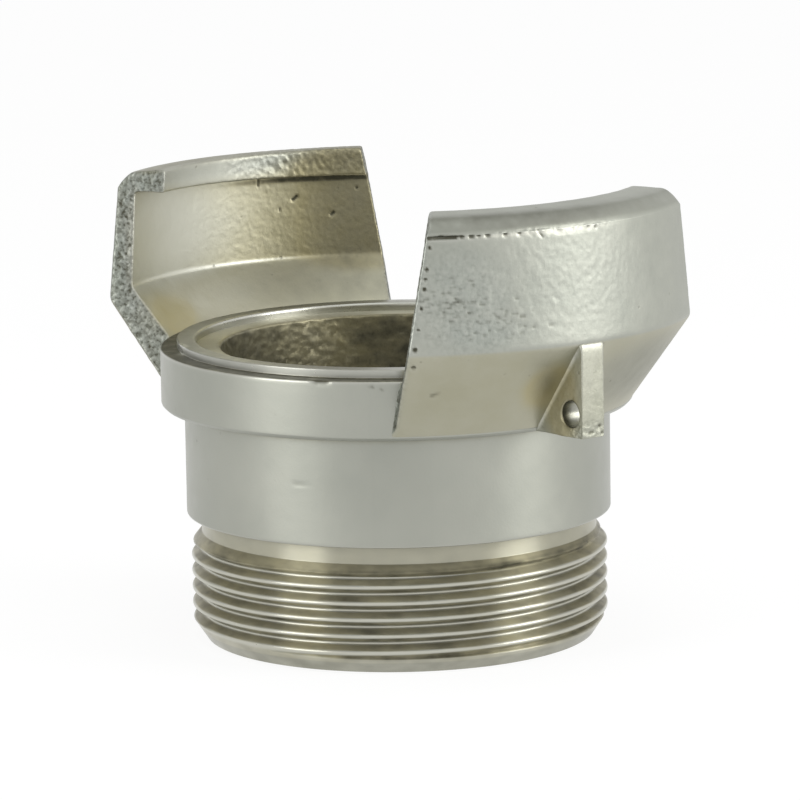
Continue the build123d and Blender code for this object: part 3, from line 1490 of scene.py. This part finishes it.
        # Dents are darkened by their depth, partly as dirt and partly as painted shade; the flanks'
        # rough skin is darker too.
        soot_and_shade = np.clip(pressed / self.black_dent, 0, 1) + near * (0.36 + 0.3 * crumbs)
        shell.add(Trait.HOLLOW, soot_and_shade)
        shell.traits[Trait.COARSE] = near
        self.wear_and_painted_light.tint(points, shell.traits)
        shell.rub_edges_and_shade_hollows(0.7, 0.2)


@dataclass
class ChainLug(Piece):
    """The small plate with a hole that a chain hooks into, under the claw on +X.

    Attributes:
        half_width: Half of the plate's width.
        hole: Radius of the hole.
        hole_place: Radius and height of the hole's middle.
        root: How far the plate reaches into the body behind its cone.
        fillet: Radius of the hollow between the plate and the cone.
        rays: Points round the hole.
        steps: Points from the hole to the outline.
        layers: Points across the plate, from face to face.
        lumps: Depth of its cast skin.
        black_dent: Depth at which a dent is black.
        seed: Number that fixes its cast skin.
    """

    half_width: float = 2.0
    hole: float = 1.8
    hole_place: tuple[float, float] = (40.35, 36.8)
    root: float = 1.2
    fillet: float = 0.3
    rays: int = 180
    steps: int = 26
    layers: int = 17
    lumps: float = 0.05
    black_dent: float = 0.2
    seed: int = 61

    def _outline(self) -> Array:
        """Corners of the plate's side, as radius and height.

        Returns:
            One row for each corner, in order.
        """
        s = self.sizes
        return np.array(
            [
                (s.flange - self.root, s.flange_bottom),
                (s.kink, s.flange_bottom),
                (s.kink, s.claw_kink),
                (s.kink - self.root, s.claw_kink),
                (s.flange - self.root, s.cone_start),
            ]
        )

    def _reach(self, corners: Array, bearing: Array) -> Array:
        """Distance from the hole's middle to the outline along each bearing.

        Each side is a line n . p = c, which a ray from the middle meets at
        c / (n . ray). The outline is convex, so the nearest one counts.

        Args:
            corners: Corners of the outline, measured from the hole's middle.
            bearing: Angles of the rays.

        Returns:
            One distance for each ray.
        """
        side = np.roll(corners, -1, axis=0) - corners
        normal = np.stack([side[:, 1], -side[:, 0]], axis=1)
        offset = (normal * corners).sum(axis=1)
        ray = np.stack([np.cos(bearing), np.sin(bearing)])
        facing = normal @ ray
        with np.errstate(divide="ignore"):
            distance = np.where(facing > 1e-9, offset[:, None] / facing, np.inf)
        return distance.min(axis=0)

    def shell(self) -> Shell:
        """Rays from the hole to the outline, on both faces, closed by hole and rim.

        Returns:
            The closed surface.
        """
        s = self.sizes
        middle = np.array(self.hole_place)
        corners = self._outline() - middle
        turns = np.arctan2(corners[:, 1], corners[:, 0])
        even = np.linspace(-math.pi, math.pi, self.rays, endpoint=False)
        bearing = np.sort(np.concatenate([even, turns]))
        reach = self._reach(corners, bearing)
        out = np.linspace(0, 1, self.steps)[:, None]
        distance = self.hole + (reach[None, :] - self.hole) * out
        radius = middle[0] + distance * np.cos(bearing)
        height = middle[1] + distance * np.sin(bearing)
        slant = math.hypot(1, s.cone_slope)
        away = (radius - s.flange - (height - s.cone_start) * s.cone_slope) / slant
        inward = np.clip(self.fillet - np.clip(away, 0, None), 0, None)
        flare = arc(self.fillet, inward)
        half = self.half_width + flare

        face = np.stack([radius, half, height], axis=-1)
        back = face * np.array([1.0, -1.0, 1.0])
        blend = np.linspace(0, 1, self.layers)[1:-1, None, None]
        rim = face[-1] + (back[-1] - face[-1]) * blend
        wall = back[0] + (face[0] - back[0]) * blend
        loop = np.concatenate([face, rim, back[::-1], wall])
        # The fillet is made fresh, which lightens it into a painted highlight line.
        fillet = 0.6 * np.clip(flare * 8, 0, 1)
        # The faces round the hole: painted shade.
        ring = 0.5 * bell(distance, self.hole, 0.3)
        bare, bright = np.zeros(rim.shape[:2]), np.ones(wall.shape[:2])
        shadow = 0.95 * (1 - blend[:, :, 0]) ** 1.3 * bright
        shell = Shell()
        shell.add_grid(
            loop,
            {
                Trait.FRESH: np.concatenate([fillet, bare, fillet[::-1], bright]),
                Trait.OLIVE: 0.25,
                Trait.HOLLOW: np.concatenate([ring, bare, ring[::-1], shadow]),
                Trait.COARSE: 0.2,
            },
            loop_rows=True,
            loop_columns=True,
        )
        shell.weld()
        shell.soften(4, 0.6)
        skin = Grain(self.seed).share(shell.points, 1.3, 2)
        pressed = self.wear_and_painted_light.dents(shell.points)
        shell.sink(self.lumps * skin + pressed + self.wear_and_painted_light.skin(shell.points))
        # Dents are darkened by their depth, partly as dirt and partly as painted shade.
        shell.add(Trait.HOLLOW, np.clip(pressed / self.black_dent, 0, 1))
        self.wear_and_painted_light.tint(shell.points, shell.traits)
        shell.rub_edges_and_shade_hollows(0.5, 0.2)
        return shell


# The studio


@dataclass(frozen=True)
class Softbox:
    """A square lamp that looks at the coupling.

    Attributes:
        name: Name of the lamp.
        bearing: Degrees round the axis, from the camera towards its right.
        elevation: Degrees above the floor.
        distance: Metres from the coupling's middle.
        width: Width in metres.
        height: Height in metres.
        radiance: Brightness of its face, where 1 is white.
        colour: Its light.
    """

    name: str
    bearing: float
    elevation: float
    distance: float
    width: float
    height: float
    radiance: float
    colour: Colour = (1.0, 1.0, 1.0)


@dataclass
class Studio:
    """Camera, lamps, pale floor and white surroundings.

    Attributes:
        azimuth: The camera's bearing round the object, in degrees.
        elevation: Its height above the horizon, in degrees.
        distance: Its distance from the point it was fitted to, in metres.
        aim: That point, in metres.
        focal_pixels: Focal length, in pixels of the picture.
        picture: The picture's side, in pixels.
        roll: The picture's turn to the left, in radians.
        sensor: The sensor's side, in millimetres.
        fill: Strength of the surroundings for light that isn't seen.
        floor_reach: Half of the floor's side, in metres.
        floor_drop: How far it lies below the coupling, in metres.
        floor_glow: Its brightness where it is seen.
        glow_share: How far that hides the shadow on it.
        softboxes: The lamps.
    """

    azimuth: float = 51.4
    elevation: float = 10.002
    distance: float = 0.72597
    aim: tuple[float, float, float] = (0.0002533, 0.0003173, 0.033421)
    focal_pixels: float = 5081.76
    picture: float = 800.0
    roll: float = 0.0161
    sensor: float = 36.0
    fill: float = 0.62
    floor_reach: float = 4.0
    floor_drop: float = 0.00002
    floor_glow: float = 1.08
    glow_share: float = 0.8
    softboxes: tuple[Softbox, ...] = (
        Softbox("left_softbox", -57.0, 16.0, 0.55, 0.26, 0.34, 2.9, (1.0, 0.995, 0.97)),
        Softbox("right_softbox", 72.0, 18.0, 0.55, 0.26, 0.36, 3.7, (1.0, 0.995, 0.97)),
        Softbox("top_softbox", 10.0, 76.0, 0.60, 0.30, 0.30, 0.8, (0.92, 0.98, 1.0)),
    )

    def _towards(self, bearing: float, elevation: float) -> Vector:
        """Unit vector to a bearing and an elevation in degrees; 0 is -Y and 90 is +X."""
        turn, lift = math.radians(bearing), math.radians(elevation)
        return Vector(
            (math.sin(turn) * math.cos(lift), -math.cos(turn) * math.cos(lift), math.sin(lift))
        )

    def place_camera(self) -> None:
        """Put the camera where the photograph was taken from."""
        data = bpy.data.cameras.new("camera")
        data.sensor_width = self.sensor
        data.lens = self.focal_pixels / self.picture * self.sensor
        data.clip_start, data.clip_end = 0.01, 20.0
        camera = linked("camera", data)
        back = self._towards(self.azimuth, self.elevation)
        right = Vector((0, 0, 1)).cross(back).normalized()
        up = back.cross(right)
        c, s = math.cos(self.roll), math.sin(self.roll)
        axes = Matrix((c * right - s * up, s * right + c * up, back)).transposed()
        camera.matrix_world = Matrix.Translation(
            Vector(self.aim) + back * self.distance
        ) @ axes.to_4x4()
        bpy.context.scene.camera = camera
        log.info("camera: lens %.1f mm", data.lens)

    def place_lamps(self) -> None:
        """Hang the softboxes, each with the power that gives its face its radiance."""
        for box in self.softboxes:
            data = bpy.data.lights.new(box.name, "AREA")
            data.shape = "RECTANGLE"
            data.size, data.size_y = box.width, box.height
            data.energy = box.radiance * math.pi * box.width * box.height
            data.color = box.colour
            lamp = linked(box.name, data)
            back = self._towards(self.azimuth + box.bearing, box.elevation)
            lamp.rotation_mode = "QUATERNION"
            lamp.rotation_quaternion = back.to_track_quat("Z", "Y")
            lamp.location = Vector(self.aim) + back * box.distance
            lamp.visible_camera = False
            log.info("%s: %.2f W", box.name, data.energy)

    @staticmethod
    def _seen(tree: Tree) -> Expr:
        """1 for rays from the camera and for mirrored or passed ones, else 0."""
        rays = [
            tree.node("ShaderNodeLightPath", output=f"Is {kind} Ray")
            for kind in ("Camera", "Glossy", "Transmission")
        ]
        return rays[0].most(rays[1]).most(rays[2])

    def surround(self) -> None:
        """White surroundings: full strength where they are seen, less as light."""
        world = bpy.data.worlds.new("surroundings")
        tree = Tree.cleared(world)
        strength = self.fill + (1 - self.fill) * self._seen(tree)
        white = tree.node(
            "ShaderNodeBackground", inputs={"Color": (1, 1, 1, 1), "Strength": strength}
        )
        tree.node("ShaderNodeOutputWorld", inputs={"Surface": white})
        bpy.context.scene.world = world

    def lay_floor(self) -> None:
        """A pale floor that keeps a faint shadow and otherwise looks white."""
        mesh = bpy.data.meshes.new("floor")
        reach = self.floor_reach
        corners = [(-reach, -reach), (reach, -reach), (reach, reach), (-reach, reach)]
        mesh.from_pydata([(x, y, -self.floor_drop) for x, y in corners], [], [(0, 1, 2, 3)])
        floor = linked("floor", mesh)
        made = bpy.data.materials.new("pale_floor")
        tree = Tree.cleared(made)
        tone = tree.noise(tree.place(), 14.0, 2.0)
        paint = tree.blend(tone, (0.90, 0.90, 0.90), (0.93, 0.93, 0.93))
        matt = tree.node("ShaderNodeBsdfDiffuse", inputs={"Color": paint})
        glow = tree.node(
            "ShaderNodeEmission", inputs={"Color": (1, 1, 1, 1), "Strength": self.floor_glow}
        )
        share = self._seen(tree) * self.glow_share
        mixed = tree.node("ShaderNodeMixShader", inputs={0: share, 1: matt, 2: glow})
        tree.node("ShaderNodeOutputMaterial", inputs={"Surface": mixed})
        mesh.materials.append(made)

    def build(self) -> None:
        """Set up everything that isn't part of the coupling."""
        scene = bpy.context.scene
        scene.view_settings.view_transform = "Standard"
        self.place_camera()
        self.place_lamps()
        self.surround()
        self.lay_floor()


def seat_wear_and_painted_light() -> WearAndPaintedLight:
    """Dings on the flange's front, a scratch on the collar, a painted glint and a painted highlight
    on the seat ring, and a darker patch on its top.
    """
    return WearAndPaintedLight(
        marks=(
            Mark(33.6, -58.0, 41.75, 0.5, 0.16, turn=3.0),
            Mark(33.6, -44.5, 41.2, 0.45, 0.16),
            Mark(33.6, -42.0, 40.8, 0.40, 0.12),
            Mark(30.35, -67.0, 26.6, 0.16, 0.08, turn=8.0, climb=0.25),
        ),
        stains_and_painted_light=(
            # A painted highlight on the seat ring's inner side at the back.
            StainAndPaintedLight(Patch(28.6, 178.0, 42.6, 26.0, 1.2, 0.9), -0.3, -0.3, 1.0),
            # A painted glint on the seat ring at the far left.
            StainAndPaintedLight(Patch(31.3, -114.0, 42.7, 3.5, 0.9, 0.9), -0.5, -0.9, 1.0),
            StainAndPaintedLight(Patch(30.0, -80.0, 43.1, 40.0, 0.6, 1.8), 0.0, 0.12),
        ),
    )


def lugged_claw_wear_and_painted_light() -> WearAndPaintedLight:
    """Holes along the claw's edge, a crevice under its crown, peeled cast skin, and painted shade
    and a painted highlight on its cone and crown.
    """
    edge = (
        (42.22, -32.2, 61.4, 0.34), (42.34, -32.8, 58.5, 0.40), (42.40, -33.1, 57.2, 0.32),
        (42.46, -33.3, 55.8, 0.44), (42.57, -33.9, 53.2, 0.38), (42.70, -34.6, 50.4, 0.30),
        (42.80, -35.2, 47.7, 0.50), (41.50, -35.4, 45.1, 0.46),
    )
    crevice = (
        (-31.0, 0.42), (-29.2, 0.308), (-27.9, 0.476), (-26.3, 0.28), (-24.6, 0.42),
        (-23.2, 0.252), (-21.5, 0.364), (-18.0, 0.308), (-15.2, 0.252),
    )
    return WearAndPaintedLight(
        marks=(
            *(Mark(*place, width, 0.25) for *place, width in edge),
            *(Mark(42.2, angle, 62.7, width, 0.2, turn=0.5) for angle, width in crevice),
            Mark(42.2, -32.4, 62.70, 0.42, 0.20, turn=2.6, climb=0.1),
            Mark(42.2, -30.2, 62.78, 0.50, 0.24, turn=2.0, climb=-0.1),
            Mark(42.2, -28.4, 62.72, 0.36, 0.20, turn=2.2, climb=0.08),
            Mark(42.1, -11.2, 62.9, 0.30, 0.12, turn=0.9, climb=-0.8),
            Mark(42.15, 0.0, 62.7, 0.28, 0.16),
            Mark(42.15, 1.8, 62.6, 0.32, 0.18),
            Mark(42.15, -12.5, 62.75, 0.35, -0.07, turn=14.9),
            Mark(38.3, -31.5, 40.6, 0.50, 0.06, turn=1.5, climb=0.6),
        ),
        fields=(
            PitField(42.55, -28.0, 54.0, 8.0, 5.0, 90, 0.36, 0.06, 7),
            PitField(42.6, -17.0, 51.3, 6.0, 2.8, 40, 0.36, 0.055, 9),
            PitField(42.6, -24.0, 48.8, 9.0, 1.6, 30, 0.34, 0.05, 11),
        ),
        peels=(
            Peel(Patch(42.5, -28.0, 54.0, 10.0, 7.0), 0.80, 0.13, 0.25),
            Peel(Patch(42.6, -22.0, 49.2, 8.0, 2.2), 0.70, 0.10, 0.2),
            Peel(Patch(42.5, -8.0, 55.0, 22.0, 9.0), 0.75, 0.05, 0.1),
            Peel(Patch(42.2, -11.0, 62.7, 17.0, 0.5, 1.0), 0.55, 0.12),
        ),
        stains_and_painted_light=(
            # Painted shade, warm, on the cone on the lug's -Y side.
            StainAndPaintedLight(Patch(38.0, -6.5, 41.0, 5.0, 4.0, 3.5), 1.0, 0.10),
            # Painted shade on the cone towards +Y of the lug.
            StainAndPaintedLight(Patch(38.5, 24.0, 40.5, 20.0, 6.5, 6.0), -0.2, 0.28),
            # Painted shade on the crown, whose top faces are lit less.
            StainAndPaintedLight(Patch(41.0, 0.0, 64.9, 80.0, 1.6, 2.5), 0.0, 0.12),
            # More painted shade on the crown, damping a lamp's highlight there.
            StainAndPaintedLight(Patch(41.0, -16.0, 64.4, 25.0, 1.6, 2.5), 0.0, 0.26),
            # A painted highlight along the wall's top edge under the crown.
            StainAndPaintedLight(Patch(42.2, -11.0, 62.60, 16.0, 0.30, 0.6), 0.0, -0.3, 0.8),
        ),
        seed=90,
    )


def plain_claw_wear_and_painted_light() -> WearAndPaintedLight:
    """Dings and tarnish on the claw's inner side, with painted lamp reflections, painted shade, a
    painted shadow under the lip and a painted warm reflection.
    """
    return WearAndPaintedLight(
        marks=(
            Mark(39.5, -7.9, 60.9, 0.24, 0.16, climb=-0.9),
            Mark(39.5, -16.2, 57.6, 0.42, 0.18, turn=-0.8, climb=0.4),
            Mark(39.5, -24.8, 55.0, 0.38, 0.16, turn=-0.5, climb=0.3),
            Mark(39.5, -30.5, 58.9, 0.32, 0.14),
            Mark(39.5, -34.0, 59.3, 0.28, 0.12),
            Mark(39.5, -13.0, 56.0, 0.22, 0.10, climb=0.4),
        ),
        peels=(
            Peel(Patch(35.2, -17.0, 63.6, 22.0, 2.6, 1.5), 0.80, 0.15, 0.3),
            Peel(Patch(37.6, -20.0, 65.4, 22.0, 0.8, 3.0), 0.75, 0.08, 0.3),
            Peel(Patch(39.45, -16.0, 55.0, 26.0, 9.0, 1.2), 0.65, 0.035, 0.1),
        ),
        stains_and_painted_light=(
            # A painted lamp reflection on one end of the pocket's wall.
            StainAndPaintedLight(Patch(39.45, 24.0, 55.0, 25.0, 9.0, 1.5), -0.45, 0.0, 0.65),
            # A painted lamp reflection on the inner cone at that end.
            StainAndPaintedLight(Patch(36.6, 18.0, 45.5, 22.0, 4.0, 3.5), 0.05, 0.0, 0.30),
            # A painted lamp reflection on the lip at that end.
            StainAndPaintedLight(Patch(35.2, 15.0, 63.6, 25.0, 2.6, 1.5), -0.45, 0.0, 0.30),
            # Warmer and darker at the pocket's other end: partly tarnish, partly painted shade.
            StainAndPaintedLight(Patch(39.45, -31.0, 55.0, 13.0, 12.0, 2.0), 1.0, 0.38),
            # Painted shade on the inner cone at that end.
            StainAndPaintedLight(Patch(36.6, -22.0, 45.5, 26.0, 5.0, 3.5), 0.0, 0.34),
            # Warmer and darker on the lip at that end: partly tarnish, partly painted shade.
            StainAndPaintedLight(Patch(35.2, -26.0, 63.5, 13.0, 2.5, 1.5), 0.9, 0.42),
            # Painted shade on the top, whose faces are lit less, with a warm tint.
            StainAndPaintedLight(Patch(37.6, -5.0, 65.5, 60.0, 0.7, 3.2), 0.5, 0.34),
            # A painted shadow on the wall under the lip.
            StainAndPaintedLight(Patch(39.45, -24.0, 60.65, 22.0, 0.52, 1.0), 0.6, 0.95),
            # A painted highlight along the foot of the pocket's wall.
            StainAndPaintedLight(Patch(39.3, 6.0, 48.9, 22.0, 0.25, 0.4), -0.3, -0.3, 0.9),
            # A painted warm reflection on the inner cone.
            StainAndPaintedLight(Patch(35.4, 27.0, 44.2, 9.0, 3.2, 3.0), 1.0, 0.0, -0.30),
        ),
        seed=120,
    )


def coupling_pieces() -> list[Piece]:
    """List the coupling's pieces with their places, dents and finishes.

    Returns:
        The pieces in the order in which they are built.
    """
    cast = SteelFinish("cast_steel")
    turned = SteelFinish("turned_steel", streak=0.4)
    cut = SteelFinish("cut_steel", cast_roughness=0.5, turned_roughness=0.3, streak=0.93)
    bore_wear_and_painted_light = WearAndPaintedLight(
        peels=(Peel(Patch(25.0, 168.0, 36.0, 20.0, 9.0, 2.0), 0.60, 0.20, 0.1),),
        stains_and_painted_light=(
            # Painted shade on one side of the bore.
            StainAndPaintedLight(Patch(25.0, 135.0, 34.0, 22.0, 12.0, 2.0), 0.2, 0.24),
            # Lighter in the bore's middle: a painted highlight.
            StainAndPaintedLight(Patch(25.0, 168.0, 38.0, 14.0, 5.0, 2.0), 0.1, -0.20),
        ),
    )
    lug_wear_and_painted_shade = WearAndPaintedLight(
        marks=(
            Mark(42.8, 1.6, 35.2, 0.42, 0.12),
            Mark(42.8, -0.8, 34.4, 0.36, 0.10, turn=0.8),
            Mark(42.8, 2.2, 34.2, 0.40, 0.14),
        ),
        peels=(Peel(Patch(42.4, 0.0, 34.4, 6.0, 1.6, 2.5), 0.6, 0.12, 0.2),),
        # Painted shade, warm, on the lug's side.
        stains_and_painted_light=(StainAndPaintedLight(Patch(38.5, -3.4, 38.5, 2.2, 7.0, 3.4), 1.0, 0.20),),
    )
    return [
        ThreadedSpigot("threaded_spigot", cut, bore_wear_and_painted_light),
        SeatAndCollar("seat_and_collar", turned, seat_wear_and_painted_light()),
        Claw("lugged_claw", cast, lugged_claw_wear_and_painted_light()),
        Claw("plain_claw", cast, plain_claw_wear_and_painted_light(), turned=True, seed=70),
        ChainLug("chain_lug", cast, lug_wear_and_painted_shade),
    ]


def main() -> None:
    """Build and dress the pieces, set up the studio and note the sizes."""
    logging.basicConfig(level=logging.INFO, format="%(name)s: %(message)s")
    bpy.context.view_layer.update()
    for piece in coupling_pieces():
        piece.dress(piece.build())
    Studio().build()
    bpy.context.view_layer.update()


if __name__ == "__main__":
    main()
